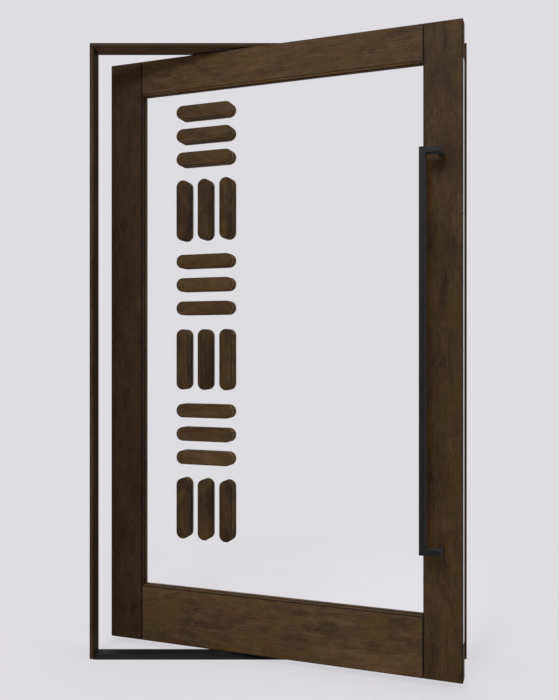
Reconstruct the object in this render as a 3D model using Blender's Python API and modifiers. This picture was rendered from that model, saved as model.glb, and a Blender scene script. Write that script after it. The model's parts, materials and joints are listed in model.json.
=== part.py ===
"""Pivot entry door: a glazed wood leaf with stadium-shaped overlay bars, ajar in a thin wood frame.

The frame stands in the XZ plane with its front towards -Y. The origin is on the underside of the
threshold, midway across the frame and midway through its depth. All sizes are in metres.
"""

import math

import bmesh
import bpy

# Leaf
LEAF_WIDTH = 1.219
LEAF_HEIGHT = 2.015
LEAF_THICKNESS = 0.0445
PIVOT_STILE_WIDTH = 0.122
LOCK_STILE_WIDTH = 0.120
TOP_RAIL_HEIGHT = 0.116
BOTTOM_RAIL_HEIGHT = 0.190
TENON_LENGTH = 0.040
TENON_THICKNESS = 0.014
TENON_SHOULDER = 0.022
WOOD_EASE = 0.0015

# Glass, held in a groove all round
GLASS_THICKNESS = 0.006
GLASS_EDGE_COVER = 0.010
GROOVE_END_PLAY = 0.002

# Overlay bars: square blocks of three, laid and upright in turn, in a band down the glass
BAR_WIDTH = 0.0467
BARS_IN_BLOCK = 3
BLOCK_COUNT = 6
BLOCK_GAP = 0.0485
BAND_HEAD_MARGIN = 0.0525
BAND_FOOT_MARGIN = 0.175
BAND_SETBACK = 0.255
BAR_END_STEPS = 8
BAR_EASE = 0.001

# Frame
FRAME_DEPTH = 0.074
FRAME_THICKNESS = 0.0135
SIDE_GAP = 0.0055
HEAD_GAP = 0.0055
THRESHOLD_THICKNESS = 0.0125
THRESHOLD_NOSE = 0.004
THRESHOLD_NOSE_EDGE = 0.002
THRESHOLD_FRONT_RAMP = 0.018
THRESHOLD_BACK_RAMP = 0.017
SILL_GAP = 0.0075
FRAME_EASE = 0.001
METAL_EASE = 0.0006

# Pivot
OPEN_ANGLE_DEGREES = 19.4
PIVOT_SETBACK = 0.465
LEAF_SETBACK = 0.0285
PIN_RADIUS = 0.008
PIN_ENGAGEMENT = 0.018
COLLAR_RADIUS = 0.0125
PIVOT_PLATE_LENGTH = 0.130
PIVOT_PLATE_WIDTH = 0.027
PIVOT_PLATE_THICKNESS = 0.004
PIVOT_BLOCK_LENGTH = 0.110
PIVOT_BLOCK_WIDTH = 0.024
PIVOT_BLOCK_HEIGHT = 0.026
BORE_END_PLAY = 0.003
ROUND_STEPS = 24

# Seals let into the leaf's edges, drawn in while the door stands open
SEAL_WIDTH = 0.005
SEAL_DEPTH = 0.009
SEAL_WALL = 0.0037

# Lock faceplate, let into the closing edge
FACEPLATE_WIDTH = 0.034
FACEPLATE_THICKNESS = 0.003
FACEPLATE_END_MARGIN = 0.117

# Offset pulls, one on each face
PULL_LENGTH = 1.225
PULL_WIDTH = 0.019
PULL_DEPTH = 0.030
PULL_PROJECTION = 0.068
PULL_OFFSET = 0.049
PULL_POST_SETBACK = 0.064
PULL_ARM_OVERHANG = 0.008
POST_RADIUS = 0.0075
POST_FOOT_RADIUS = 0.010
POST_FOOT_HEIGHT = 0.003
PULL_EASE = 0.001

# Fits
SEAT = 0.0003
MERGE = 0.00001
EASED_CORNER_DEGREES = 40

# Places that follow from the sizes above
LEAF_BOTTOM = THRESHOLD_THICKNESS + SILL_GAP
LEAF_TOP = LEAF_BOTTOM + LEAF_HEIGHT
HEAD_UNDERSIDE = LEAF_TOP + HEAD_GAP
FRAME_TOP = HEAD_UNDERSIDE + FRAME_THICKNESS
OPENING_WIDTH = LEAF_WIDTH + 2 * SIDE_GAP
FRAME_WIDTH = OPENING_WIDTH + 2 * FRAME_THICKNESS
FRAME_FRONT = -FRAME_DEPTH / 2
AXIS_X = -LEAF_WIDTH / 2 + PIVOT_SETBACK
AXIS_Y = FRAME_FRONT + LEAF_SETBACK

# The leaf's own frame has its origin on the pivot axis at floor level and X along the leaf
LEAF_LEFT = -PIVOT_SETBACK
LEAF_RIGHT = LEAF_WIDTH - PIVOT_SETBACK
GLAZED_LEFT = LEAF_LEFT + PIVOT_STILE_WIDTH
GLAZED_RIGHT = LEAF_RIGHT - LOCK_STILE_WIDTH
GLAZED_BOTTOM = LEAF_BOTTOM + BOTTOM_RAIL_HEIGHT
GLAZED_TOP = LEAF_TOP - TOP_RAIL_HEIGHT
HALF_LEAF = LEAF_THICKNESS / 2

# The band of blocks fills the glass between its margins, and a block is as wide as it is high
BAND_TOP = GLAZED_TOP - BAND_HEAD_MARGIN
BLOCK_PITCH = (BAND_TOP - GLAZED_BOTTOM - BAND_FOOT_MARGIN + BLOCK_GAP) / BLOCK_COUNT
BAR_LENGTH = BLOCK_PITCH - BLOCK_GAP
BAR_PITCH = (BAR_LENGTH - BAR_WIDTH) / (BARS_IN_BLOCK - 1)


def srgb(red, green, blue):
    """Linear colour of a display colour given as 0 to 255."""
    def linear(value):
        share = value / 255
        return share / 12.92 if share <= 0.04045 else ((share + 0.055) / 1.055) ** 2.4
    return (linear(red), linear(green), linear(blue), 1.0)


def make_material(name, colour, roughness, metallic=0.0, transmission=0.0):
    """Plain Principled material."""
    material = bpy.data.materials.new(name)
    material.use_nodes = True
    shader = material.node_tree.nodes["Principled BSDF"]
    shader.inputs["Base Color"].default_value = colour
    shader.inputs["Roughness"].default_value = roughness
    shader.inputs["Metallic"].default_value = metallic
    shader.inputs["Transmission Weight"].default_value = transmission
    material.diffuse_color = colour
    return material


def make_materials():
    """One finish for each kind of piece."""
    return {
        "frame_wood": make_material("frame_wood", srgb(60, 44, 32), 0.45),
        "stile_wood": make_material("stile_wood", srgb(62, 46, 32), 0.45),
        "rail_wood": make_material("rail_wood", srgb(78, 60, 41), 0.45),
        "overlay_wood": make_material("overlay_wood", srgb(70, 54, 36), 0.45),
        "glass": make_material("glass", srgb(240, 244, 243), 0.02, transmission=1.0),
        "black_steel": make_material("black_steel", srgb(37, 37, 38), 0.4, metallic=0.6),
        "satin_steel": make_material("satin_steel", srgb(180, 176, 172), 0.3, metallic=1.0),
        "seal_rubber": make_material("seal_rubber", srgb(22, 22, 22), 0.7),
        "dark_sill": make_material("dark_sill", srgb(38, 38, 38), 0.5, metallic=0.5),
    }


def clear_scene():
    """Remove whatever the scene holds."""
    for item in list(bpy.data.objects):
        bpy.data.objects.remove(item, do_unlink=True)


def make_collection(name):
    """New collection under the scene."""
    collection = bpy.data.collections.new(name)
    bpy.context.scene.collection.children.link(collection)
    return collection


class Kit:
    """Places the pieces of one body in its collection, under one parent."""

    def __init__(self, pieces, cutters, materials, parent=None):
        self.pieces = pieces
        self.cutters = cutters
        self.materials = materials
        self.parent = parent

    def place(self, name, data, centre, material=None, turn=(0.0, 0.0, 0.0)):
        """Object of a piece, or of a cutter where there is no material."""
        item = bpy.data.objects.new(name, data)
        item.location = centre
        item.rotation_euler = turn
        item.parent = self.parent
        if material is None:
            self.cutters.objects.link(item)
            item.hide_render = True
            item.display_type = "WIRE"
        else:
            self.pieces.objects.link(item)
            if not data.materials:
                data.materials.append(self.materials[material])
        return item

    def box(self, name, low, high, material=None):
        """Box between two corners."""
        size = [b - a for a, b in zip(low, high)]
        centre = [(a + b) / 2 for a, b in zip(low, high)]
        mesh = bpy.data.meshes.new(name)
        shape = bmesh.new()
        bmesh.ops.create_cube(shape, size=1.0)
        bmesh.ops.scale(shape, vec=size, verts=shape.verts)
        shape.to_mesh(mesh)
        shape.free()
        return self.place(name, mesh, centre, material)

    def rod(self, name, radius, low, high, x=0.0, y=0.0):
        """Upright round cutter between two heights."""
        mesh = bpy.data.meshes.new(name)
        shape = bmesh.new()
        bmesh.ops.create_cone(
            shape, cap_ends=True, segments=ROUND_STEPS, radius1=radius, radius2=radius, depth=high - low
        )
        shape.to_mesh(mesh)
        shape.free()
        return self.place(name, mesh, (x, y, (low + high) / 2))

    def turned(self, name, profile, centre, material=None, turn=(0.0, 0.0, 0.0)):
        """Round piece from a profile of radius and height, run from its top down its outer side."""
        mesh = bpy.data.meshes.new(name)
        shape = bmesh.new()
        points = [shape.verts.new((radius, 0.0, height)) for radius, height in profile]
        for first, second in zip(points, points[1:]):
            shape.edges.new((first, second))
        shape.to_mesh(mesh)
        shape.free()
        item = self.place(name, mesh, centre, material, turn)
        screw = item.modifiers.new("Turn", "SCREW")
        screw.axis = "Z"
        screw.angle = math.tau
        screw.steps = ROUND_STEPS
        screw.render_steps = ROUND_STEPS
        screw.use_merge_vertices = True
        screw.merge_threshold = MERGE
        return item

    def plate(self, name, mesh, centre, material, turn, ease):
        """Flat outline with its edges eased."""
        item = self.place(name, mesh, centre, material, turn)
        ease_edges(item, ease)
        return item


def ease_edges(item, width):
    """Small chamfer on every sharp edge."""
    bevel = item.modifiers.new("Eased edges", "BEVEL")
    bevel.width = width
    bevel.segments = 1
    bevel.limit_method = "ANGLE"
    bevel.angle_limit = math.radians(EASED_CORNER_DEGREES)
    bevel.use_clamp_overlap = True


def cut(item, cutter, operation="DIFFERENCE"):
    """Boolean with one closed shape."""
    boolean = item.modifiers.new(cutter.name, "BOOLEAN")
    boolean.operation = operation
    boolean.solver = "EXACT"
    boolean.object = cutter


def outline_mesh(name, points, thickness):
    """Closed mesh of a filled 2D outline with the given thickness."""
    curve = bpy.data.curves.new(name, "CURVE")
    curve.dimensions = "2D"
    curve.fill_mode = "BOTH"
    curve.extrude = thickness / 2
    spline = curve.splines.new("POLY")
    spline.points.add(len(points) - 1)
    for point, (x, y) in zip(spline.points, points):
        point.co = (x, y, 0.0, 1.0)
    spline.use_cyclic_u = True

    drawn = bpy.data.objects.new(f"{name}_outline", curve)
    bpy.context.scene.collection.objects.link(drawn)
    graph = bpy.context.evaluated_depsgraph_get()
    mesh = bpy.data.meshes.new_from_object(drawn.evaluated_get(graph))
    mesh.name = name
    shape = bmesh.new()
    shape.from_mesh(mesh)
    bmesh.ops.remove_doubles(shape, verts=shape.verts, dist=MERGE)
    shape.to_mesh(mesh)
    shape.free()
    bpy.data.objects.remove(drawn, do_unlink=True)
    bpy.data.curves.remove(curve)
    return mesh


def stadium_points(length, width):
    """Outline of a bar with full round ends, along X."""
    radius = width / 2
    points = []
    for side, start in ((1, -math.pi / 2), (-1, math.pi / 2)):
        for step in range(BAR_END_STEPS + 1):
            angle = start + math.pi * step / BAR_END_STEPS
            x = side * (length / 2 - radius) + radius * math.cos(angle)
            points.append((x, radius * math.sin(angle)))
    return points


def build_frame(kit):
    """Jambs, head and threshold, with the fixed halves of the pivot."""
    half_opening = OPENING_WIDTH / 2
    half_frame = FRAME_WIDTH / 2
    back = FRAME_FRONT + FRAME_DEPTH

    for name, side in (("jamb_pivot_side", -1), ("jamb_lock_side", 1)):
        inner, outer = side * half_opening, side * half_frame
        low = (min(inner, outer), FRAME_FRONT, 0.0)
        high = (max(inner, outer), back, HEAD_UNDERSIDE - SEAT)
        ease_edges(kit.box(name, low, high, "frame_wood"), FRAME_EASE)

    head = kit.box(
        "head_jamb",
        (-half_frame, FRAME_FRONT, HEAD_UNDERSIDE),
        (half_frame, back, FRAME_TOP),
        "frame_wood",
    )
    ease_edges(head, FRAME_EASE)
    threshold = build_threshold(kit, half_opening - SEAT, back)

    plate_low, plate_high = pivot_plate_corners(THRESHOLD_THICKNESS - PIVOT_PLATE_THICKNESS, SEAT)
    cut(threshold, kit.box("floor_plate_recess", plate_low, plate_high))
    plate_low, plate_high = pivot_plate_corners(HEAD_UNDERSIDE, SEAT)
    cut(head, kit.box("head_plate_recess", plate_low, plate_high))
    build_floor_pivot(kit)
    build_head_pivot(kit)


def build_threshold(kit, half_length, back):
    """Metal threshold between the jambs: a flat under the leaf, with a ramp up to it on both sides."""
    front = FRAME_FRONT - THRESHOLD_NOSE
    section = [
        (front, 0.0),
        (back, 0.0),
        (back, THRESHOLD_NOSE_EDGE),
        (back - THRESHOLD_BACK_RAMP, THRESHOLD_THICKNESS),
        (front + THRESHOLD_FRONT_RAMP, THRESHOLD_THICKNESS),
        (front, THRESHOLD_NOSE_EDGE),
    ]
    mesh = outline_mesh("threshold", section, 2 * half_length)
    across = (math.pi / 2, 0.0, math.pi / 2)
    return kit.plate("threshold", mesh, (0.0, 0.0, 0.0), "dark_sill", across, METAL_EASE)


def pivot_plate_corners(underside, clearance):
    """Corners of the room for a pivot plate whose seat is at the given height."""
    low = (
        AXIS_X - PIVOT_PLATE_LENGTH / 2 - clearance,
        AXIS_Y - PIVOT_PLATE_WIDTH / 2 - clearance,
        underside - clearance,
    )
    high = (
        AXIS_X + PIVOT_PLATE_LENGTH / 2 + clearance,
        AXIS_Y + PIVOT_PLATE_WIDTH / 2 + clearance,
        underside + PIVOT_PLATE_THICKNESS + clearance,
    )
    return low, high


def build_floor_pivot(kit):
    """Plate let into the threshold, with a collar that carries the leaf and a pin in its shoe."""
    low, high = pivot_plate_corners(THRESHOLD_THICKNESS - PIVOT_PLATE_THICKNESS, 0.0)
    plate = kit.box("floor_pivot", low, high, "black_steel")
    profile = [
        (0.0, LEAF_BOTTOM + PIN_ENGAGEMENT),
        (PIN_RADIUS, LEAF_BOTTOM + PIN_ENGAGEMENT),
        (PIN_RADIUS, LEAF_BOTTOM - SEAT),
        (COLLAR_RADIUS, LEAF_BOTTOM - SEAT),
        (COLLAR_RADIUS, THRESHOLD_THICKNESS - PIVOT_PLATE_THICKNESS / 2),
        (0.0, THRESHOLD_THICKNESS - PIVOT_PLATE_THICKNESS / 2),
    ]
    cut(plate, kit.turned("floor_pivot_pin", profile, (AXIS_X, AXIS_Y, 0.0)), "UNION")


def build_head_pivot(kit):
    """Plate let into the head's underside, with a pin down into the leaf."""
    low, high = pivot_plate_corners(HEAD_UNDERSIDE, 0.0)
    plate = kit.box("head_pivot", low, high, "black_steel")
    profile = [
        (0.0, HEAD_UNDERSIDE + PIVOT_PLATE_THICKNESS / 2),
        (PIN_RADIUS, HEAD_UNDERSIDE + PIVOT_PLATE_THICKNESS / 2),
        (PIN_RADIUS, LEAF_TOP - PIN_ENGAGEMENT),
        (0.0, LEAF_TOP - PIN_ENGAGEMENT),
    ]
    cut(plate, kit.turned("head_pivot_pin", profile, (AXIS_X, AXIS_Y, 0.0)), "UNION")


def build_leaf(kit):
    """The moving leaf, in its own frame on the pivot axis."""
    members = build_leaf_members(kit)
    build_glass(kit, members)
    build_tenons(kit, members)
    build_leaf_pivots(kit, members)
    build_seals(kit, members)
    build_faceplate(kit, members)
    build_overlay_bars(kit)
    for name, side in (("front_pull", -1), ("rear_pull", 1)):
        build_pull(kit, name, side)


def build_leaf_members(kit):
    """Full-height stiles with the rails between them."""
    spans = {
        "pivot_stile": (LEAF_LEFT, GLAZED_LEFT, LEAF_BOTTOM, LEAF_TOP),
        "lock_stile": (GLAZED_RIGHT, LEAF_RIGHT, LEAF_BOTTOM, LEAF_TOP),
        "top_rail": (GLAZED_LEFT + SEAT, GLAZED_RIGHT - SEAT, GLAZED_TOP, LEAF_TOP),
        "bottom_rail": (GLAZED_LEFT + SEAT, GLAZED_RIGHT - SEAT, LEAF_BOTTOM, GLAZED_BOTTOM),
    }
    members = {}
    for name, (left, right, bottom, top) in spans.items():
        material = "stile_wood" if name.endswith("stile") else "rail_wood"
        low = (left, -HALF_LEAF, bottom)
        high = (right, HALF_LEAF, top)
        members[name] = kit.box(name, low, high, material)
        ease_edges(members[name], WOOD_EASE)
    return members


def build_glass(kit, members):
    """One pane in a groove round the four members."""
    half_glass = GLASS_THICKNESS / 2
    low = (GLAZED_LEFT - GLASS_EDGE_COVER, -half_glass, GLAZED_BOTTOM - GLASS_EDGE_COVER)
    high = (GLAZED_RIGHT + GLASS_EDGE_COVER, half_glass, GLAZED_TOP + GLASS_EDGE_COVER)
    kit.box("glass_pane", low, high, "glass")
    play = (GROOVE_END_PLAY, SEAT, SEAT)
    groove_low = [value - room for value, room in zip(low, play)]
    groove_high = [value + room for value, room in zip(high, play)]
    groove = kit.box("glass_groove", groove_low, groove_high)
    for member in members.values():
        cut(member, groove)


def build_tenons(kit, members):
    """Stub tenons on the rails, in mortises in the stiles."""
    half_tenon = TENON_THICKNESS / 2
    rails = {
        "top_rail": (GLAZED_TOP + TENON_SHOULDER, LEAF_TOP - TENON_SHOULDER),
        "bottom_rail": (LEAF_BOTTOM + TENON_SHOULDER, GLAZED_BOTTOM - TENON_SHOULDER),
    }
    ends = {
        "pivot_stile": (GLAZED_LEFT - TENON_LENGTH, GLAZED_LEFT + TENON_LENGTH),
        "lock_stile": (GLAZED_RIGHT - TENON_LENGTH, GLAZED_RIGHT + TENON_LENGTH),
    }
    for rail, (bottom, top) in rails.items():
        for stile, (left, right) in ends.items():
            low = (left, -half_tenon, bottom)
            high = (right, half_tenon, top)
            cut(members[rail], kit.box(f"{rail}_{stile}_tenon", low, high), "UNION")
            room_low = [value - SEAT for value in low]
            room_high = [value + SEAT for value in high]
            cut(members[stile], kit.box(f"{rail}_{stile}_mortise", room_low, room_high))


def build_leaf_pivots(kit, members):
    """Shoe and socket let into the rails, bored for the pins."""
    half_length = PIVOT_BLOCK_LENGTH / 2
    half_width = PIVOT_BLOCK_WIDTH / 2
    bore_radius = PIN_RADIUS + SEAT
    bore_depth = PIN_ENGAGEMENT + BORE_END_PLAY
    blocks = {
        "leaf_pivot_shoe": ("bottom_rail", LEAF_BOTTOM, LEAF_BOTTOM + PIVOT_BLOCK_HEIGHT),
        "leaf_pivot_socket": ("top_rail", LEAF_TOP - PIVOT_BLOCK_HEIGHT, LEAF_TOP),
    }
    bores = {
        "leaf_pivot_shoe": (LEAF_BOTTOM - BORE_END_PLAY, LEAF_BOTTOM + bore_depth),
        "leaf_pivot_socket": (LEAF_TOP - bore_depth, LEAF_TOP + BORE_END_PLAY),
    }
    for name, (rail, bottom, top) in blocks.items():
        low = (-half_length, -half_width, bottom)
        high = (half_length, half_width, top)
        block = kit.box(name, low, high, "black_steel")
        cut(block, kit.rod(f"{name}_bore", bore_radius, *bores[name]))
        room_low = [value - SEAT for value in low]
        room_high = [value + SEAT for value in high]
        cut(members[rail], kit.box(f"{name}_room", room_low, room_high))


def build_seals(kit, members):
    """Seals in grooves along the leaf's top, bottom and pivot-side edges."""
    back = HALF_LEAF - SEAL_WALL
    front = back - SEAL_WIDTH
    left = LEAF_LEFT + SEAL_DEPTH + SEAT
    right = LEAF_RIGHT - FACEPLATE_THICKNESS - SEAT
    seals = {
        "seal_top": ((left, front, LEAF_TOP - SEAL_DEPTH), (right, back, LEAF_TOP - SEAT)),
        "seal_bottom": ((left, front, LEAF_BOTTOM + SEAT), (right, back, LEAF_BOTTOM + SEAL_DEPTH)),
        "seal_pivot_edge": (
            (LEAF_LEFT + SEAT, front, LEAF_BOTTOM + SEAL_DEPTH),
            (LEAF_LEFT + SEAL_DEPTH, back, LEAF_TOP - SEAL_DEPTH),
        ),
    }
    for name, (low, high) in seals.items():
        kit.box(name, low, high, "seal_rubber")
        room_low = [value - SEAT for value in low]
        room_high = [value + SEAT for value in high]
        room = kit.box(f"{name}_groove", room_low, room_high)
        for member in members.values():
            cut(member, room)


def build_faceplate(kit, members):
    """Lock faceplate flush in the closing edge."""
    half_width = FACEPLATE_WIDTH / 2
    low = (LEAF_RIGHT - FACEPLATE_THICKNESS, -half_width, LEAF_BOTTOM + FACEPLATE_END_MARGIN)
    high = (LEAF_RIGHT, half_width, LEAF_TOP - FACEPLATE_END_MARGIN)
    kit.box("lock_faceplate", low, high, "satin_steel")
    room_low = [value - SEAT for value in low]
    room_high = [value + SEAT for value in high]
    cut(members["lock_stile"], kit.box("lock_faceplate_room", room_low, room_high))


def build_overlay_bars(kit):
    """Bars on both sides of the glass, flush with the leaf's faces."""
    thickness = HALF_LEAF - GLASS_THICKNESS / 2 - SEAT
    mesh = outline_mesh("overlay_bar", stadium_points(BAR_LENGTH, BAR_WIDTH), thickness)
    band_centre = LEAF_LEFT + BAND_SETBACK + BAR_LENGTH / 2
    first_block = BAND_TOP - BAR_LENGTH / 2
    faces = (("front", -1), ("rear", 1))
    for block in range(BLOCK_COUNT):
        upright = block % 2 == 1
        block_centre = first_block - block * BLOCK_PITCH
        for bar in range(BARS_IN_BLOCK):
            shift = (bar - (BARS_IN_BLOCK - 1) / 2) * BAR_PITCH
            x = band_centre + (shift if upright else 0.0)
            z = block_centre - (0.0 if upright else shift)
            for face, side in faces:
                y = side * (HALF_LEAF - thickness / 2)
                turn = (math.pi / 2, math.pi / 2 if upright else 0.0, 0.0)
                name = f"{face}_bar_{block + 1}_{bar + 1}"
                kit.plate(name, mesh, (x, y, z), "overlay_wood", turn, BAR_EASE)


def pull_outline():
    """Outline of a pull's bar with its two arms, about the bar's middle."""
    half_length = PULL_LENGTH / 2
    half_bar = PULL_WIDTH / 2
    arm_end = PULL_OFFSET + PULL_ARM_OVERHANG
    arm_inside = half_length - PULL_WIDTH
    return [
        (-half_bar, -half_length),
        (arm_end, -half_length),
        (arm_end, -arm_inside),
        (half_bar, -arm_inside),
        (half_bar, arm_inside),
        (arm_end, arm_inside),
        (arm_end, half_length),
        (-half_bar, half_length),
    ]


def build_pull(kit, name, side):
    """Offset pull: an upright bar with two arms, on two turned posts in the middle of the stile."""
    middle = LEAF_BOTTOM + LEAF_HEIGHT / 2
    post_x = LEAF_RIGHT - PULL_POST_SETBACK
    bar_y = side * (HALF_LEAF + PULL_PROJECTION - PULL_DEPTH / 2)
    mesh = outline_mesh(name, pull_outline(), PULL_DEPTH)
    lying = (math.pi / 2, 0.0, 0.0)
    kit.plate(name, mesh, (post_x - PULL_OFFSET, bar_y, middle), "black_steel", lying, PULL_EASE)

    length = PULL_PROJECTION - PULL_DEPTH - 2 * SEAT
    profile = [
        (0.0, length),
        (POST_RADIUS, length),
        (POST_RADIUS, POST_FOOT_HEIGHT),
        (POST_FOOT_RADIUS, POST_FOOT_HEIGHT),
        (POST_FOOT_RADIUS, 0.0),
        (0.0, 0.0),
    ]
    outward = (-side * math.pi / 2, 0.0, 0.0)
    post_height = (PULL_LENGTH - PULL_WIDTH) / 2
    for end, up in (("upper", 1), ("lower", -1)):
        foot = (post_x, side * (HALF_LEAF + SEAT), middle + up * post_height)
        kit.turned(f"{name}_post_{end}", profile, foot, "black_steel", outward)


def main():
    """The whole door, with the leaf ajar as in everyday use."""
    clear_scene()
    pieces = make_collection("pivot_entry_door")
    cutters = make_collection("cutters")
    materials = make_materials()
    build_frame(Kit(pieces, cutters, materials))

    axis = bpy.data.objects.new("leaf_pivot_axis", None)
    axis.location = (AXIS_X, AXIS_Y, 0.0)
    axis.rotation_euler = (0.0, 0.0, -math.radians(OPEN_ANGLE_DEGREES))
    pieces.objects.link(axis)
    build_leaf(Kit(pieces, cutters, materials, axis))


main()
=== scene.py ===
"""Looks of the pivot entry door: stained wood, clear glass, black and satin metal, in a pale studio."""

import json
import math

import bpy
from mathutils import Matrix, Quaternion, Vector


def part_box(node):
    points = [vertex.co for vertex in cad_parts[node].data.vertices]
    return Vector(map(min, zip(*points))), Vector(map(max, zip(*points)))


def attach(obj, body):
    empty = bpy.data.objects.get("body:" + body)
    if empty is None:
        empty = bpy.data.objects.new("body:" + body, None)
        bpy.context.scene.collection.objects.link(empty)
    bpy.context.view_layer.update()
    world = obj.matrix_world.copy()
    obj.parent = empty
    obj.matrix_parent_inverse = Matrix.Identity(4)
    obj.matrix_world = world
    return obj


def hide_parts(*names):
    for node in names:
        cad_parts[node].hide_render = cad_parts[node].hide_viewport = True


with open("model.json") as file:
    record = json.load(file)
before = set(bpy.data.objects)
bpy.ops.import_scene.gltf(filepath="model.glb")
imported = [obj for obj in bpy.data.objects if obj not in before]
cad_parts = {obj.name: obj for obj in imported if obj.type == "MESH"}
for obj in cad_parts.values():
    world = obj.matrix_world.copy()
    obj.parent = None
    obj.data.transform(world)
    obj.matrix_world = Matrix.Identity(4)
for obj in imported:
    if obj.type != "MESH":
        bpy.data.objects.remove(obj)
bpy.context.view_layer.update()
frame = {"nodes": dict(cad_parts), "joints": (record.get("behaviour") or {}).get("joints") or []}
nodes = frame["nodes"]

# Places read from the frame
hinge = frame["joints"][0]
AXIS = Vector(hinge["pos_m"])
OPEN_ANGLE = -math.radians(hinge["range_deg"][0])
FRAME_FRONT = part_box("jamb_pivot_side")[0].y
LEAF_ALONG = Vector((math.cos(OPEN_ANGLE), -math.sin(OPEN_ANGLE), 0.0))
LEAF_BACK = Vector((math.sin(OPEN_ANGLE), math.cos(OPEN_ANGLE), 0.0))
FRAME_ALONG = Vector((1.0, 0.0, 0.0))
FRAME_BACK = Vector((0.0, 1.0, 0.0))
UP = Vector((0.0, 0.0, 1.0))
QUARTER_TURN = math.pi / 2

# Camera, found from the edges of the frame and the leaf in a picture of 559 by 700
CAMERA_DISTANCE = 2.6274
CAMERA_X = 0.0044
CAMERA_HEIGHT = 1.0306
FOCAL_PIXELS = 788.5
PICTURE_HEIGHT = 700
SENSOR = 36.0

# Studio
BACKDROP = (223, 221, 225)
FLOOR_REACH = 6.0
FLOOR_DROP = 0.0005
FLOOR_LIT_RADIUS = 0.4
FLOOR_FADE = 1.4
FLOOR_LEAST_FADE = 0.75
WORLD_LEVEL = 0.62
LAMP_TARGET = (0.0, 0.0, 1.0)

# Patterns of the wood: counts a metre along and across the grain, detail, roughness, distortion
WOOD_GRAINS = {
    "figure": (3.0, 10.0, 3.0, 0.6, 1.1),
    "mottle": (20.0, 46.0, 4.0, 0.65, 0.9),
    "fibre": (9.0, 320.0, 3.0, 0.6, 0.2),
    "pores": (55.0, 1100.0, 1.0, 0.5, 0.0),
    "fleck": (20.0, 78.0, 3.0, 0.6, 0.6),
    "streak": (4.0, 52.0, 2.0, 0.5, 0.4),
    "gold": (9.0, 17.0, 3.0, 0.6, 0.8),
    "rust": (11.0, 26.0, 3.0, 0.6, 0.8),
}

# Patterns that lie apart from the others
WOOD_SHIFTS = {
    "gold": (3.0, 1.7, 0.4),
    "rust": (7.0, 4.1, 2.3),
}

# Patterns that show as patches: the level above which each shows, and how fast it grows from there
WOOD_PATCHES = {
    "pores": (0.58, 9.0),
    "fleck": (0.6, 8.0),
    "streak": (0.66, 8.0),
    "gold": (0.48, 5.0),
    "rust": (0.54, 6.0),
}

# Growth rings: the place of their heart, drawn out along the grain, and how fast they follow each other
HEART_PLACE = (0.0, 0.031, 0.047)
HEART_STRETCH = (0.03, 1.0, 1.0)
RING_RATE = 620.0

# Tones of the wood: the stops of its ramp with their factors on the board's colour, and two tints
TONE_STOPS = ((0.22, 0.45), (0.5, 1.0), (0.8, 1.7))
GOLD_TINT = (1.06, 1.14, 0.7)
RUST_TINT = (1.12, 0.86, 0.84)

# Painted shade darkening the arrises, chamfers and inner corners of the boards, and patches rubbed pale
# along the very edge
EDGE_SHADE_RADIUS = 0.005
EDGE_SHADE_GAIN = 16.0
RUB_RADIUS = 0.0012
RUB_GAIN = 3.0
RUB_PATCHES = (0.52, 6.0)
DARK_ARRIS = 0.95
SOFT_ARRIS = 0.6
PALE_ARRIS = 0.4

# Painted light and shade on the leaf's side faces, which grows through the leaf towards its back or its
# front
SIDE_SHADING_RATE = 40.0
SIDE_SHADING_LEAD = 0.25
SHADING_AT_BACK = 1.0
SHADING_AT_FRONT = -1.0

# Overlay bars
BAR_EDGE_RADIUS = 0.0028
BAR_EDGE_DEGREES = (22.5, 45.0, 67.5, 90.0)
BAR_ROUND_STEPS = 40
BAR_GRAIN_SPREAD = 9.0
BAR_TONE_SPREAD = 0.05
UPRIGHT_BAR_TONE = -0.2
BAR_SEED = 7

# Pull posts, each rim with the reach of its easing and the depth of its shoulder
POST_RADIUS = 0.0075
POST_RIM = (0.0008, 0.0002)
POST_FOOT_RADIUS = 0.010
POST_FOOT_HEIGHT = 0.003
POST_FOOT_RIM = (0.0012, 0.00035)
POST_STEPS = 48

# Screws, whose neck, rim and cross recess are shares of the head's radius and rise
SCREW_RADIUS = 0.0038
SCREW_PROUD = 0.00025
SCREW_DEPTH = 0.001
SCREW_NECK_SHARE = 0.7
SCREW_RIM_SHARE = 0.6
SCREW_STEPS = 24
SCREW_SPIN_DEGREES = 67.0
RECESS_LENGTH_SHARE = 1.1
RECESS_WIDTH_SHARE = 0.24
RECESS_HEIGHT_SHARE = 1.6
# Height and radius shares past which painted shade falls in the recess and round the rim
RECESS_SHADE_SHARE = 0.6
RIM_SHADE_SHARE = 0.84
FACEPLATE_SCREWS = 9
FACEPLATE_SCREW_MARGIN = 0.045
PLATE_SCREW_OFFSETS = (-0.052, -0.030, 0.030, 0.052)

# Edges sharper than this stay sharp on the made pieces
SHARP_DEGREES = 32


def srgb(red, green, blue):
    """Linear colour of a display colour given as 0 to 255."""
    def linear(value):
        share = value / 255
        return share / 12.92 if share <= 0.04045 else ((share + 0.055) / 1.055) ** 2.4
    return (linear(red), linear(green), linear(blue), 1.0)


def tinted(colour, factors):
    """A colour whose red, green and blue are scaled apart."""
    return tuple(value * factor for value, factor in zip(colour, factors)) + (1.0,)


def scaled(colour, factor):
    """A colour made darker or lighter."""
    return tinted(colour, (factor, factor, factor))


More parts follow.
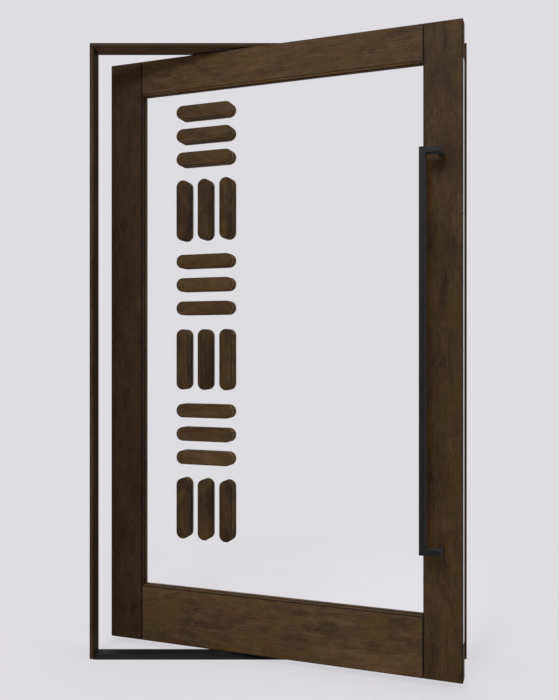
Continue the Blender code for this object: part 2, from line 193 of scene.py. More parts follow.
class Wire:
    """An output socket on which ordinary arithmetic adds Math nodes."""

    def __init__(self, graph, socket):
        self.graph = graph
        self.socket = socket

    def math(self, operation, first, second):
        """Value of one Math node."""
        return self.graph.add("ShaderNodeMath", {"operation": operation}, {0: first, 1: second})

    def __add__(self, other):
        return self.math("ADD", self, other)

    __radd__ = __add__

    def __mul__(self, other):
        return self.math("MULTIPLY", self, other)

    __rmul__ = __mul__

    def __sub__(self, other):
        return self.math("SUBTRACT", self, other)

    def __rsub__(self, other):
        return self.math("SUBTRACT", other, self)

    def __truediv__(self, other):
        return self.math("DIVIDE", self, other)

    def larger(self, other):
        """The larger of two values."""
        return self.math("MAXIMUM", self, other)

    def clamp(self):
        """The value held between 0 and 1."""
        return self.graph.add("ShaderNodeClamp", {}, {"Value": self})

    def above(self, level, gain):
        """Mask that grows from 0 once the value passes a level."""
        return ((self - level) * gain).clamp()

    def below(self, level, gain):
        """Mask that grows from 0 once the value falls under a level."""
        return ((level - self) * gain).clamp()


class Graph:
    """A node tree that is written one node at a time."""

    def __init__(self, tree):
        self.tree = tree

    def feed(self, node, inputs):
        """Sets or links each named input of a node."""
        for key, value in inputs.items():
            if isinstance(value, Wire):
                self.tree.links.new(value.socket, node.inputs[key])
            else:
                node.inputs[key].default_value = value

    def add(self, kind, settings, inputs, output=0):
        """New node with its settings made before its inputs; gives back one output."""
        node = self.tree.nodes.new(kind)
        for name, value in settings.items():
            if name == "stops":
                self.set_stops(node.color_ramp, value)
            else:
                setattr(node, name, value)
        self.feed(node, inputs)
        return Wire(self, node.outputs[output])

    def set_stops(self, ramp, stops):
        """Places and colours of a ramp's stops."""
        while len(ramp.elements) < len(stops):
            ramp.elements.new(1.0)
        for element, (place, colour) in zip(ramp.elements, stops):
            element.position = place
            element.color = colour

    def vector(self, **parts):
        """Vector from its coordinates."""
        return self.add("ShaderNodeCombineXYZ", {}, parts)

    def part(self, vector, letter):
        """One coordinate of a vector."""
        return self.add("ShaderNodeSeparateXYZ", {}, {0: vector}, letter)

    def length(self, vector):
        """Length of a vector."""
        return self.add("ShaderNodeVectorMath", {"operation": "LENGTH"}, {0: vector}, "Value")

    def dot(self, first, second):
        """Dot product of two vectors."""
        return self.add("ShaderNodeVectorMath", {"operation": "DOT_PRODUCT"}, {0: first, 1: second}, "Value")

    def blend(self, factor, first, second):
        """Mix of two shaders."""
        return self.add("ShaderNodeMixShader", {}, {0: factor, 1: first, 2: second})

    def backdrop_rays(self):
        """Mask of the rays that show the backdrop: straight ones, and those by gloss and glass."""
        path = self.tree.nodes.new("ShaderNodeLightPath")
        camera, glossy, through = (Wire(self, path.outputs[f"Is {kind} Ray"])
                                   for kind in ("Camera", "Glossy", "Transmission"))
        return camera.larger(glossy).larger(through)


class Finish(Graph):
    """One material."""

    def __init__(self, name):
        self.material = bpy.data.materials.new(name)
        self.material.use_nodes = True
        super().__init__(self.material.node_tree)
        self.surface = self.tree.nodes["Principled BSDF"]
        self.output = self.tree.nodes["Material Output"]

    def place(self):
        """Object coordinates."""
        return self.add("ShaderNodeTexCoord", {}, {}, "Object")

    def stored(self, name, output="Vector"):
        """A value kept on the mesh."""
        return self.add("ShaderNodeAttribute", {"attribute_name": name}, {}, output)

    def turned(self, vector, location=(0.0, 0.0, 0.0), rotation=(0.0, 0.0, 0.0), scale=(1.0, 1.0, 1.0)):
        """Coordinates scaled, turned and moved, in that order."""
        inputs = {"Vector": vector, "Location": location, "Rotation": rotation, "Scale": scale}
        return self.add("ShaderNodeMapping", {"vector_type": "POINT"}, inputs)

    def noise(self, vector, scale, detail=2.0, roughness=0.5, distortion=0.0):
        """Soft noise from 0 to 1."""
        inputs = {"Vector": vector, "Scale": scale, "Detail": detail, "Roughness": roughness,
                  "Distortion": distortion}
        return self.add("ShaderNodeTexNoise", {}, inputs)

    def grain(self, vector, along, across, detail, roughness, distortion):
        """Noise drawn out along the grain, by its counts a metre along and across."""
        stretched = self.turned(vector, scale=(along, across, across))
        return self.noise(stretched, 1.0, detail, roughness, distortion)

    def ramp(self, factor, stops):
        """Colour ramp."""
        return self.add("ShaderNodeValToRGB", {"stops": stops}, {0: factor})

    def mix(self, factor, first, second, blend="MIX"):
        """Mix of two colours."""
        settings = {"data_type": "RGBA", "blend_type": blend}
        return self.add("ShaderNodeMix", settings, {0: factor, 6: first, 7: second}, 2)

    def bump(self, height, strength, distance):
        """Normal from a height."""
        inputs = {"Height": height, "Strength": strength, "Distance": distance}
        return self.add("ShaderNodeBump", {}, inputs)

    def edges(self, radius, gain):
        """Mask of the piece's outer and inner corners."""
        rounded = self.add("ShaderNodeBevel", {"samples": 4}, {"Radius": radius})
        flat = self.add("ShaderNodeNewGeometry", {}, {}, "Normal")
        return self.dot(rounded, flat).below(1, gain)

    def squareness(self, direction):
        """1 on faces square to a direction, 0 on faces along it."""
        normal = self.add("ShaderNodeTexCoord", {}, {}, "Normal")
        facing = self.dot(normal, direction)
        return facing * facing


def leaf_place(finish):
    """Coordinates along, through and up the leaf, from its pivot axis."""
    shifted = finish.turned(finish.place(), location=(-AXIS.x, -AXIS.y, 0.0))
    return finish.turned(shifted, rotation=(0.0, 0.0, OPEN_ANGLE))


def upright_grain(finish, place):
    """Coordinates turned so that the grain runs up the piece."""
    return finish.turned(place, rotation=(0.0, QUARTER_TURN, 0.0))


def growth_rings(finish, place, figure, mottle):
    """Waves of the growth rings round a heart that lies beside the board."""
    heart = finish.turned(place, location=HEART_PLACE, scale=HEART_STRETCH)
    turns = finish.length(heart) * RING_RATE + figure * 14.0 + mottle * 3.0
    return finish.add("ShaderNodeMath", {"operation": "SINE"}, {0: turns})


def wood_surface(finish, place, colour, back, painted_side_shading, arris, lightness=None, side_shading_share=None):
    """Stained hardwood with its grain along X of the place, with painted light and shade on its sides and
    painted shade at its arrises.
    """
    def pattern(name):
        shifted = finish.turned(place, location=WOOD_SHIFTS[name]) if name in WOOD_SHIFTS else place
        return finish.grain(shifted, *WOOD_GRAINS[name])

    def patches(name):
        return pattern(name).above(*WOOD_PATCHES[name])

    figure = pattern("figure")
    mottle = pattern("mottle")
    fibre = pattern("fibre")
    pores = patches("pores")
    fleck = patches("fleck")
    streak = patches("streak")
    gold = patches("gold")
    rust = patches("rust")
    rings = growth_rings(finish, place, figure, mottle)

    tone = figure * 0.8 + mottle * 0.8 + fibre * 0.26 + rings * 0.035 - 0.43
    if lightness:
        tone = tone + lightness
    body = finish.ramp(tone, [(stop, scaled(colour, factor)) for stop, factor in TONE_STOPS])
    body = finish.mix(gold * 0.85, body, tinted(colour, GOLD_TINT))
    body = finish.mix(rust * 0.7, body, tinted(colour, RUST_TINT))
    body = finish.mix(fleck * 0.4 + streak * 0.3, body, scaled(colour, 0.42))
    body = finish.mix(pores * 0.5, body, scaled(colour, 0.25))

    square = finish.squareness(back)
    side = square.below(0.35, 6.0)
    # Painted light and shade: side faces made lighter or darker by their own factors, standing in for how
    # light falls on them
    body = finish.mix(side * side_shading_share if side_shading_share else side, body, (*painted_side_shading, 1.0), "MULTIPLY")
    # Painted shade: arrises, chamfers and inner corners darkened
    eased = (square * (1 - square) * 4.0).clamp()
    edge_shade = finish.edges(EDGE_SHADE_RADIUS, EDGE_SHADE_GAIN).larger(eased)
    body = finish.mix(edge_shade * arris, body, scaled(colour, 0.06))
    rub = finish.edges(RUB_RADIUS, RUB_GAIN) * mottle.above(*RUB_PATCHES)
    body = finish.mix(rub * 0.3, body, scaled(colour, 1.6))
    height = fibre * 0.4 - pores * 0.9 + rings * 0.05
    finish.feed(finish.surface, {
        "Base Color": body,
        "Roughness": 0.42 + fibre * 0.1 + mottle * 0.1 + side * 0.2,
        "Specular IOR Level": 0.07,
        "Normal": finish.bump(height, 0.3, 0.0004),
    })
    return finish.material


def frame_board(name, colour, painted_side_shading, arris, upright=False):
    """Wood of one board of the frame."""
    finish = Finish(name)
    place = finish.place()
    if upright:
        place = upright_grain(finish, place)
    return wood_surface(finish, place, colour, FRAME_BACK, painted_side_shading, arris)


def leaf_board(name, colour, painted_side_shading, arris=DARK_ARRIS, upright=False, shading_end=SHADING_AT_BACK):
    """Wood of one board of the leaf, with painted light and shade on its sides, strongest at the leaf's back
    or front.
    """
    finish = Finish(name)
    place = leaf_place(finish)
    depth = finish.part(place, "Y")
    side_shading_share = (depth * (SIDE_SHADING_RATE * shading_end) + (0.5 + SIDE_SHADING_LEAD * shading_end)).clamp()
    if upright:
        place = upright_grain(finish, place)
    return wood_surface(finish, place, colour, LEAF_BACK, painted_side_shading, arris, side_shading_share=side_shading_share)


def overlay_wood():
    """Wood of the overlay bars, each with its own grain and tone."""
    finish = Finish("overlay_bar_wood")
    tone = finish.stored("bar_tone", "Fac")
    place = finish.stored("grain_place")
    # Painted light: the bars' side faces lighter and greyer than their fronts
    painted_side_shading = (2.0, 2.3, 2.9)
    return wood_surface(finish, place, srgb(70, 52, 33), LEAF_BACK, painted_side_shading, SOFT_ARRIS, lightness=tone)


def clear_glass():
    """Clear float glass that lets lamp light through."""
    finish = Finish("clear_glass")
    wave = finish.noise(finish.place(), 3.0)
    finish.feed(finish.surface, {
        "Base Color": (0.985, 0.992, 0.99, 1.0),
        "Roughness": wave * 0.01,
        "Transmission Weight": 1.0,
        "IOR": 1.45,
    })
    shadow = finish.add("ShaderNodeLightPath", {}, {}, "Is Shadow Ray")
    open_way = finish.add("ShaderNodeBsdfTransparent", {}, {"Color": (0.9, 0.92, 0.91, 1.0)})
    body = Wire(finish, finish.surface.outputs[0])
    finish.feed(finish.output, {"Surface": finish.blend(shadow, body, open_way)})
    return finish.material


def coated_metal(name, dark, light, painted_side_light):
    """Matt coat over steel, with painted light: a paler colour where it doesn't face through the leaf."""
    finish = Finish(name)
    place = finish.place()
    grain = finish.noise(place, 1400.0, roughness=0.6)
    cloud = finish.noise(place, 18.0, detail=3.0)
    wear = finish.noise(place, 60.0, detail=3.0, roughness=0.6).above(0.45, 4.0)
    worn = finish.edges(0.0012, 2.5) * wear
    colour = finish.mix(cloud, dark, light)
    # Painted light: faces that don't face through the leaf get the paler colour
    side = finish.squareness(LEAF_BACK).below(0.6, 4.0)
    colour = finish.mix(side, colour, painted_side_light)
    finish.feed(finish.surface, {
        "Base Color": finish.mix(worn * 0.4, colour, srgb(60, 60, 60)),
        "Roughness": 0.38 + cloud * 0.14,
        "Specular IOR Level": 0.15,
        "Normal": finish.bump(grain, 0.12, 0.0002),
    })
    return finish.material


def brushed_steel():
    """Satin steel brushed along its length."""
    finish = Finish("brushed_steel")
    place = finish.place()
    brushing = finish.noise(finish.turned(place, scale=(1500.0, 1500.0, 12.0)), 1.0, roughness=0.6)
    cloud = finish.noise(place, 14.0)
    worn = finish.edges(0.001, 2.5)
    shine = (cloud * 0.5 + brushing * 0.9 - 0.2).clamp()
    steel = finish.mix(shine, srgb(166, 162, 157), srgb(216, 212, 208))
    finish.feed(finish.surface, {
        "Base Color": finish.mix(worn * 0.5, steel, srgb(228, 226, 223)),
        "Metallic": 1.0,
        "Roughness": 0.26 + brushing * 0.14,
        "Normal": finish.bump(brushing, 0.08, 0.0002),
    })
    return finish.material


def screw_metal(name, colour, metallic):
    """Metal of screw heads, with painted shade in the cross recess and a painted shadow line round the rim.
    """
    finish = Finish(name)
    place = finish.stored("head_place")
    # Painted shade in the cross recess and painted shadow round the rim
    recess_shade = finish.part(place, "Z").below(SCREW_PROUD * RECESS_SHADE_SHARE, 8.0 / SCREW_PROUD)
    rim_shade = (finish.length(place) / SCREW_RADIUS).above(RIM_SHADE_SHARE, 10.0)
    cloud = finish.noise(place, 900.0, detail=3.0, roughness=0.6)
    metal = finish.mix(cloud, scaled(colour, 0.75), scaled(colour, 1.1))
    finish.feed(finish.surface, {
        "Base Color": finish.mix(recess_shade.larger(rim_shade) * 0.9, metal, scaled(colour, 0.08)),
        "Metallic": metallic,
        "Roughness": 0.3 + cloud * 0.15,
        "Normal": finish.bump(cloud, 0.1, 0.0002),
    })
    return finish.material


def seal_pile():
    """Matt black seal."""
    finish = Finish("seal_pile")
    pile = finish.noise(finish.place(), 900.0, roughness=0.7)
    finish.feed(finish.surface, {
        "Base Color": finish.mix(pile, srgb(12, 12, 12), srgb(34, 34, 34)),
        "Roughness": 0.8 + pile * 0.15,
        "Normal": finish.bump(pile, 0.5, 0.0006),
    })
    return finish.material


def dark_sill():
    """Dark anodised threshold, drawn along its length."""
    finish = Finish("dark_sill")
    place = finish.place()
    drawing = finish.noise(finish.turned(place, scale=(6.0, 900.0, 900.0)), 1.0, detail=3.0, roughness=0.6)
    cloud = finish.noise(place, 9.0, detail=3.0, roughness=0.55)
    worn = finish.edges(0.002, 2.5)
    metal = finish.mix(cloud, srgb(23, 23, 23), srgb(31, 31, 30))
    finish.feed(finish.surface, {
        "Base Color": finish.mix(worn * 0.3, metal, srgb(60, 59, 57)),
        "Roughness": 0.44 + drawing * 0.2,
        "Specular IOR Level": 0.12,
        "Normal": finish.bump(drawing, 0.15, 0.0002),
    })
    return finish.material


def dress(names, material):
    """Gives CAD nodes their finish."""
    for name in names:
        for slot in nodes[name].material_slots:
            slot.material = material


def dress_boards():
    """Every board gets its own wood, by its colour and the painted light and shade on its sides."""
    jamb = srgb(57, 42, 29)
    # Painted shade darkens the jambs' sides; painted light lightens the head's underside and most leaf
    # boards' sides
    jamb_side_shade = (0.7, 0.63, 0.52)
    dress(["jamb_pivot_side"], frame_board("jamb_wood", jamb, jamb_side_shade, PALE_ARRIS, upright=True))
    dress(["jamb_lock_side"], frame_board("far_jamb_wood", jamb, jamb_side_shade, PALE_ARRIS, upright=True))
    dress(["head_jamb"], frame_board("head_wood", srgb(55, 40, 27), (2.2, 2.15, 2.1), DARK_ARRIS))
    dress(["pivot_stile"], leaf_board("pivot_stile_wood", srgb(50, 35, 22), (2.3, 2.5, 3.0), upright=True))
    dress(["lock_stile"], leaf_board("lock_stile_wood", srgb(62, 45, 27), (1.3, 1.3, 1.3), upright=True))
    dress(["top_rail"], leaf_board("top_rail_wood", srgb(72, 53, 33), (2.8, 2.7, 2.5), SOFT_ARRIS,
                                   shading_end=SHADING_AT_FRONT))
    dress(["bottom_rail"], leaf_board("bottom_rail_wood", srgb(76, 57, 38), (1.0, 1.0, 1.0)))


def dress_fittings(black):
    """The pane, pulls, pivots, faceplate, seals and threshold get their finishes."""
    dress(["glass_pane"], clear_glass())
    dress([name for name in nodes if "_pull" in name], black)
    dress(["floor_pivot", "leaf_pivot_shoe"],
          coated_metal("pivot_black", srgb(22, 22, 22), srgb(29, 29, 28), srgb(28, 28, 27)))
    # The head pivots' sides are a pale bronze, painted light that lifts the shade beside the leaf
    dress(["head_pivot", "leaf_pivot_socket"],
          coated_metal("dark_bronze", srgb(40, 31, 24), srgb(56, 43, 33), srgb(74, 57, 43)))
    dress(["lock_faceplate"], brushed_steel())
    dress(["seal_top", "seal_bottom", "seal_pivot_edge"], seal_pile())
    dress(["threshold"], dark_sill())


class Recipe(Graph):
    """A geometry tree with named sizes, whose result becomes a plain mesh."""

    def __init__(self, name, sizes):
        super().__init__(bpy.data.node_groups.new(name, "GeometryNodeTree"))
        face = self.tree.interface
        face.new_socket("Places", in_out="INPUT", socket_type="NodeSocketGeometry")
        self.labels = {label: face.new_socket(label, in_out="INPUT", socket_type=kind).identifier
                       for label, kind in sizes.items()}
        face.new_socket("Result", in_out="OUTPUT", socket_type="NodeSocketGeometry")
        self.given = self.tree.nodes.new("NodeGroupInput")

    def size(self, label):
        """One of the named sizes."""
        return Wire(self, self.given.outputs[label])

    def moved(self, geometry, translation=(0.0, 0.0, 0.0), rotation=(0.0, 0.0, 0.0)):
        """A geometry turned and then moved."""
        inputs = {"Geometry": geometry, "Translation": translation, "Rotation": rotation}
        return self.add("GeometryNodeTransform", {}, inputs)

    def ring(self, steps, radius, height):
        """Circle of points at a height."""
        circle = self.add("GeometryNodeMeshCircle", {}, {"Vertices": steps, "Radius": radius})
        return self.moved(circle, self.vector(Z=height))

    def eased_rim(self, steps, radius, height, ease, shoulder):
        """Rings that round off the upper rim of a turned shape."""
        return [
            self.ring(steps, radius, height - ease),
            self.ring(steps, radius - shoulder, height - shoulder),
            self.ring(steps, radius - ease, height),
        ]

    def join(self, parts):
        """Several geometries as one."""
        node = self.tree.nodes.new("GeometryNodeJoinGeometry")
        for part in reversed(parts):
            self.tree.links.new(part.socket, node.inputs[0])
        return Wire(self, node.outputs[0])

    def hull(self, parts):
        """Closed skin around several geometries."""
        return self.add("GeometryNodeConvexHull", {}, {"Geometry": self.join(parts)})

    def combine(self, operation, first, others):
        """Solids joined to the first, or cut out of it."""
        node = self.tree.nodes.new("GeometryNodeMeshBoolean")
        node.operation = operation
        if operation == "DIFFERENCE":
            self.tree.links.new(first.socket, node.inputs["Mesh 1"])
        else:
            others = [first] + others
        for other in others:
            self.tree.links.new(other.socket, node.inputs["Mesh 2"])
        return Wire(self, node.outputs["Mesh"])

    def copies(self, shape):
        """The shape at every place, turned as the place says."""
        rotation = self.add("FunctionNodeEulerToRotation", {}, {"Euler": self.named("turn")})
        return self.add("GeometryNodeInstanceOnPoints", {}, {
            "Points": self.size("Places"), "Instance": shape, "Rotation": rotation})

    def named(self, name):
        """A vector kept on the geometry."""
        settings = {"data_type": "FLOAT_VECTOR"}
        return self.add("GeometryNodeInputNamedAttribute", settings, {"Name": name})

    def store(self, geometry, domain, kind, name, value):
        """Keeps a value on the geometry."""
        settings = {"domain": domain, "data_type": kind}
        inputs = {"Geometry": geometry, "Name": name, "Value": value}
        return self.add("GeometryNodeStoreNamedAttribute", settings, inputs)

    def store_place(self, geometry, name):
        """Keeps where each point lies before the shape is copied."""
        here = self.add("GeometryNodeInputPosition", {}, {})
        return self.store(geometry, "POINT", "FLOAT_VECTOR", name, here)

    def close(self, geometry, material):
        """Realises the copies, gives them their material and ends the tree."""
        real = self.add("GeometryNodeRealizeInstances", {}, {"Geometry": geometry})
        dressed = self.add("GeometryNodeSetMaterial", {}, {"Geometry": real, "Material": material})
        output = self.tree.nodes.new("NodeGroupOutput")
        self.tree.links.new(dressed.socket, output.inputs["Result"])

    def make(self, name, places, values):
        """Runs the tree on places with turns and gives back a plain object."""
        mesh = bpy.data.meshes.new(name + "_places")
        mesh.from_pydata([place for place, _ in places], [], [])
        turns = mesh.attributes.new("turn", "FLOAT_VECTOR", "POINT")
        turns.data.foreach_set("vector", [value for _, turn in places for value in turn])
        carrier = bpy.data.objects.new(name + "_carrier", mesh)
        bpy.context.scene.collection.objects.link(carrier)
        modifier = carrier.modifiers.new("recipe", "NODES")
        modifier.node_group = self.tree
        for label, value in values.items():
            modifier[self.labels[label]] = value
        graph = bpy.context.evaluated_depsgraph_get()
        finished = bpy.data.meshes.new_from_object(
            carrier.evaluated_get(graph), preserve_all_data_layers=True, depsgraph=graph)
        finished.name = name
        finished.shade_smooth()
        finished.set_sharp_from_angle(angle=math.radians(SHARP_DEGREES))
        carrier.modifiers.remove(modifier)
        bpy.data.objects.remove(carrier)
        bpy.data.meshes.remove(mesh)
        piece = bpy.data.objects.new(name, finished)
        bpy.context.scene.collection.objects.link(piece)
        return piece


def bar_recipe(material):
    """Stadium-shaped bars, flat on the glass and eased at the front."""
    recipe = Recipe("overlay_bars", {
        "Bar length": "NodeSocketFloat", "Bar width": "NodeSocketFloat", "Bar thickness": "NodeSocketFloat",
        "Edge radius": "NodeSocketFloat", "Round steps": "NodeSocketInt", "Upright tone": "NodeSocketFloat",
        "Seed": "NodeSocketInt"})
    radius = recipe.size("Bar width") * 0.5
    edge = recipe.size("Edge radius")
    thick = recipe.size("Bar thickness")
    steps = recipe.size("Round steps")
    rings = [recipe.ring(steps, radius, 0.0), recipe.ring(steps, radius, thick - edge)]
    for angle in BAR_EDGE_DEGREES:
        turn = math.radians(angle)
        drop = edge * (1 - math.cos(turn))
        rings.append(recipe.ring(steps, radius - drop, thick - edge + edge * math.sin(turn)))
    disc = recipe.join(rings)
    offset = recipe.size("Bar length") * 0.5 - radius
    ends = [recipe.moved(disc, recipe.vector(X=offset * side)) for side in (-1, 1)]
    bar = recipe.moved(recipe.hull(ends), rotation=(QUARTER_TURN, 0.0, 0.0))
    copies = recipe.copies(recipe.store_place(bar, "grain_place"))

    seed = recipe.size("Seed")
    spread = Vector((BAR_GRAIN_SPREAD, BAR_GRAIN_SPREAD, BAR_GRAIN_SPREAD))
    shift = recipe.add("FunctionNodeRandomValue", {"data_type": "FLOAT_VECTOR"}, {
        0: -spread, 1: spread, "Seed": seed})
    tone = recipe.add("FunctionNodeRandomValue", {"data_type": "FLOAT"}, {
        2: -BAR_TONE_SPREAD, 3: BAR_TONE_SPREAD, "Seed": seed}, 1)
    copies = recipe.store(copies, "INSTANCE", "FLOAT_VECTOR", "bar_shift", shift)
    upright = recipe.part(recipe.named("turn"), "Y") / QUARTER_TURN
    tone = tone + upright * recipe.size("Upright tone")
    copies = recipe.store(copies, "INSTANCE", "FLOAT", "bar_tone", tone)
    real = recipe.add("GeometryNodeRealizeInstances", {}, {"Geometry": copies})
    total = recipe.add("ShaderNodeVectorMath", {"operation": "ADD"}, {
        0: recipe.named("grain_place"), 1: recipe.named("bar_shift")})
    recipe.close(recipe.store(real, "POINT", "FLOAT_VECTOR", "grain_place", total), material)
    return recipe


def span(name, direction):
    """Length of a node along a direction, and its middle."""
    reaches = [vertex.co.dot(direction) for vertex in nodes[name].data.vertices]
    return max(reaches) - min(reaches), (max(reaches) + min(reaches)) / 2


def centre(name):
    """Middle of a leaf node."""
    along, back, up = (span(name, way)[1] for way in (LEAF_ALONG, LEAF_BACK, UP))
    return LEAF_ALONG * along + LEAF_BACK * back + UP * up


def build_overlay_bars():
    """Smooth overlay bars in the places of the CAD bars."""
    names = sorted(name for name in nodes if "_bar_" in name)
    length = span("front_bar_1_1", LEAF_ALONG)[0]
    width = span("front_bar_1_1", UP)[0]
    thickness = span("front_bar_1_1", LEAF_BACK)[0]
    places = []
    for name in names:
        front = name.startswith("front")
        foot = centre(name) + LEAF_BACK * (thickness / 2 if front else -thickness / 2)
        block = int(name.split("_")[2])
        tilt = QUARTER_TURN if block % 2 == 0 else 0.0
        places.append((foot, (0.0, tilt, (0.0 if front else math.pi) - OPEN_ANGLE)))
    piece = bar_recipe(overlay_wood()).make("overlay_bars", places, {
        "Bar length": length, "Bar width": width, "Bar thickness": thickness,
        "Edge radius": BAR_EDGE_RADIUS, "Round steps": BAR_ROUND_STEPS,
        "Upright tone": UPRIGHT_BAR_TONE, "Seed": BAR_SEED})
    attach(piece, "leaf")
    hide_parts(*names)


def aimed(direction, spin):
    """Turn that stands a shape's Z along a direction, spun about it first."""
    turn = Vector(direction).to_track_quat("Z", "Y") @ Quaternion((0.0, 0.0, 1.0), spin)
    return tuple(turn.to_euler("XYZ"))


def post_recipe(material):
    """Turned posts with a rounded foot."""
    recipe = Recipe("pull_posts", {
        "Post length": "NodeSocketFloat", "Post radius": "NodeSocketFloat", "Foot radius": "NodeSocketFloat",
        "Foot height": "NodeSocketFloat", "Round steps": "NodeSocketInt"})
    steps = recipe.size("Round steps")
    length = recipe.size("Post length")
    radius = recipe.size("Post radius")
    foot = recipe.size("Foot radius")
    height = recipe.size("Foot height")
    shaft = recipe.hull(
        [recipe.ring(steps, radius, height * 0.5)] + recipe.eased_rim(steps, radius, length, *POST_RIM))
    collar = recipe.hull(
        [recipe.ring(steps, foot, 0.0)] + recipe.eased_rim(steps, foot, height, *POST_FOOT_RIM))
    recipe.close(recipe.copies(recipe.combine("UNION", collar, [shaft])), material)
    return recipe


def build_posts(black):
    """Smooth pull posts in the places of the CAD posts."""
    names = sorted(name for name in nodes if "_pull_post_" in name)
    length = span(names[0], LEAF_BACK)[0]
    places = []
    for name in names:
        outward = -LEAF_BACK if name.startswith("front") else LEAF_BACK
        places.append((centre(name) - outward * (length / 2), aimed(outward, 0.0)))
    piece = post_recipe(black).make("pull_posts", places, {
        "Post length": length, "Post radius": POST_RADIUS, "Foot radius": POST_FOOT_RADIUS,
        "Foot height": POST_FOOT_HEIGHT, "Round steps": POST_STEPS})
    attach(piece, "leaf")
    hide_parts(*names)


def screw_recipe(material):
    """Flat screw heads with a cross recess."""
    recipe = Recipe("screw_heads", {"Head radius": "NodeSocketFloat", "Proud": "NodeSocketFloat"})
    radius = recipe.size("Head radius")
    proud = recipe.size("Proud")
    head = recipe.hull([
        recipe.ring(SCREW_STEPS, radius * SCREW_NECK_SHARE, -SCREW_DEPTH),
        recipe.ring(SCREW_STEPS, radius, 0.0),
        recipe.ring(SCREW_STEPS, radius, proud * (1 - SCREW_RIM_SHARE)),
        recipe.ring(SCREW_STEPS, radius - proud * SCREW_RIM_SHARE, proud)])
    arms = []
    for turn in (0.0, QUARTER_TURN):
        size = recipe.vector(X=radius * RECESS_LENGTH_SHARE, Y=radius * RECESS_WIDTH_SHARE,
                             Z=proud * RECESS_HEIGHT_SHARE)
        arm = recipe.add("GeometryNodeMeshCube", {}, {"Size": size})
        arms.append(recipe.moved(arm, recipe.vector(Z=proud), (0.0, 0.0, turn)))
    cross = recipe.combine("UNION", arms[0], [arms[1]])
    cut = recipe.combine("DIFFERENCE", head, [cross])
    recipe.close(recipe.copies(recipe.store_place(cut, "head_place")), material)
    return recipe


def screw_turn(direction, index):
    """Turn of one screw in a row, each with its recess at another angle."""
    return aimed(direction, math.radians(SCREW_SPIN_DEGREES * index))


def plate_screws(name, face, direction):
    """Places of a pivot plate's screws, on its upper or lower face."""
    along = LEAF_ALONG if name.startswith("leaf") else FRAME_ALONG
    middle = Vector((AXIS.x, AXIS.y, face))
    return [(middle + along * offset, screw_turn(direction, index))
            for index, offset in enumerate(PLATE_SCREW_OFFSETS)]


def faceplate_screws():
    """Places of the screws down the lock faceplate."""
    low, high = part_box("lock_faceplate")
    length = high.z - low.z - 2 * FACEPLATE_SCREW_MARGIN
    thickness = span("lock_faceplate", LEAF_ALONG)[0]
    outside = centre("lock_faceplate") + LEAF_ALONG * (thickness / 2)
    places = []
    for index in range(FACEPLATE_SCREWS):
        height = low.z + FACEPLATE_SCREW_MARGIN + length * index / (FACEPLATE_SCREWS - 1)
        places.append((Vector((outside.x, outside.y, height)), screw_turn(LEAF_ALONG, index)))
    return places


def build_screws():
    """Screws of the lock faceplate and of the four pivot plates."""
    steel = screw_metal("steel_screws", srgb(190, 187, 182), 1.0)
    black = screw_metal("black_screws", srgb(40, 39, 37), 0.0)
    leaf_plates = (plate_screws("leaf_pivot_shoe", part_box("leaf_pivot_shoe")[0].z, -UP)
                   + plate_screws("leaf_pivot_socket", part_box("leaf_pivot_socket")[1].z, UP))
    frame_plates = (plate_screws("floor_pivot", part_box("threshold")[1].z, UP)
                    + plate_screws("head_pivot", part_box("head_jamb")[0].z, -UP))
    sets = [
        ("faceplate_screws", "leaf", "satin_steel", steel, faceplate_screws()),
        ("leaf_plate_screws", "leaf", "black_steel", black, leaf_plates),
        ("frame_plate_screws", "frame", "black_steel", black, frame_plates),
    ]
    sizes = {"Head radius": SCREW_RADIUS, "Proud": SCREW_PROUD}
    for name, body, slot, material, places in sets:
        piece = screw_recipe(material).make(name, places, sizes)
        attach(piece, body)


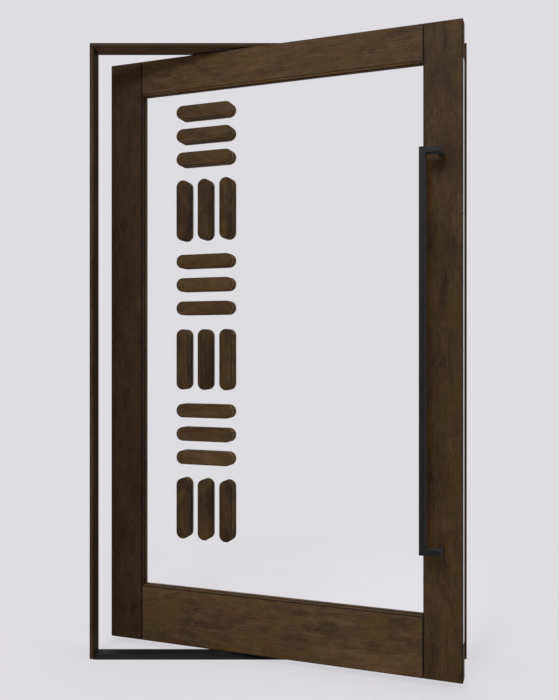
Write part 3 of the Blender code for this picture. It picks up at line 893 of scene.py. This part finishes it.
def build_floor():
    """Pale floor that takes the door's shadow and runs into the backdrop."""
    mesh = bpy.data.meshes.new("floor")
    side = FLOOR_REACH
    corners = [(-side, -side, 0.0), (side, -side, 0.0), (side, side, 0.0), (-side, side, 0.0)]
    mesh.from_pydata(corners, [], [(0, 1, 2, 3)])
    floor = bpy.data.objects.new("floor", mesh)
    floor.location.z = -FLOOR_DROP
    bpy.context.scene.collection.objects.link(floor)
    finish = Finish("floor")
    finish.feed(finish.surface, {"Base Color": srgb(*BACKDROP), "Roughness": 0.9, "Specular IOR Level": 0.0})
    backdrop = finish.add("ShaderNodeEmission", {}, {"Color": srgb(*BACKDROP), "Strength": 1.0})
    distance = finish.length(finish.place())
    far = ((distance - FLOOR_LIT_RADIUS) / FLOOR_FADE).clamp().larger(FLOOR_LEAST_FADE)
    lit = Wire(finish, finish.surface.outputs[0])
    finish.feed(finish.output, {"Surface": finish.blend(far * finish.backdrop_rays(), lit, backdrop)})
    mesh.materials.append(finish.material)


def build_world():
    """Even pale light, and the backdrop's colour where it is seen."""
    world = bpy.data.worlds.new("studio")
    bpy.context.scene.world = world
    world.use_nodes = True
    graph = Graph(world.node_tree)
    light = graph.add("ShaderNodeBackground", {}, {"Color": (1.0, 1.0, 1.0, 1.0), "Strength": WORLD_LEVEL})
    shown = graph.add("ShaderNodeBackground", {}, {"Color": srgb(*BACKDROP), "Strength": 1.0})
    blend = graph.blend(graph.backdrop_rays(), light, shown)
    graph.feed(graph.tree.nodes["World Output"], {"Surface": blend})


def add_lamp(name, place, size, power):
    """Soft square lamp aimed at the door."""
    data = bpy.data.lights.new(name, "AREA")
    data.size = size
    data.energy = power
    lamp = bpy.data.objects.new(name, data)
    lamp.location = place
    lamp.rotation_euler = (Vector(LAMP_TARGET) - Vector(place)).to_track_quat("-Z", "Y").to_euler()
    bpy.context.scene.collection.objects.link(lamp)


def build_lamps():
    """High key from the front left, a weak light from the right and one from above."""
    add_lamp("key", place=(-2.0, -4.95, 4.88), size=1.4, power=175.0)
    add_lamp("side", place=(4.6, -2.6, 3.2), size=2.4, power=40.0)
    add_lamp("top", place=(0.0, 0.8, 5.6), size=3.0, power=60.0)


def build_camera():
    """Level camera square to the frame."""
    data = bpy.data.cameras.new("camera")
    data.sensor_width = SENSOR
    data.lens = FOCAL_PIXELS / PICTURE_HEIGHT * SENSOR
    camera = bpy.data.objects.new("camera", data)
    camera.location = (CAMERA_X, FRAME_FRONT - CAMERA_DISTANCE, CAMERA_HEIGHT)
    camera.rotation_euler = (QUARTER_TURN, 0.0, 0.0)
    bpy.context.scene.collection.objects.link(camera)
    bpy.context.scene.camera = camera


# The pulls' sides get a paler black as painted light
satin_black = coated_metal("satin_black", srgb(17, 17, 17), srgb(25, 25, 25), srgb(50, 50, 49))
dress_boards()
dress_fittings(satin_black)
build_overlay_bars()
build_posts(satin_black)
build_screws()
build_floor()
build_world()
build_lamps()
build_camera()
bpy.context.scene.view_settings.view_transform = "Standard"
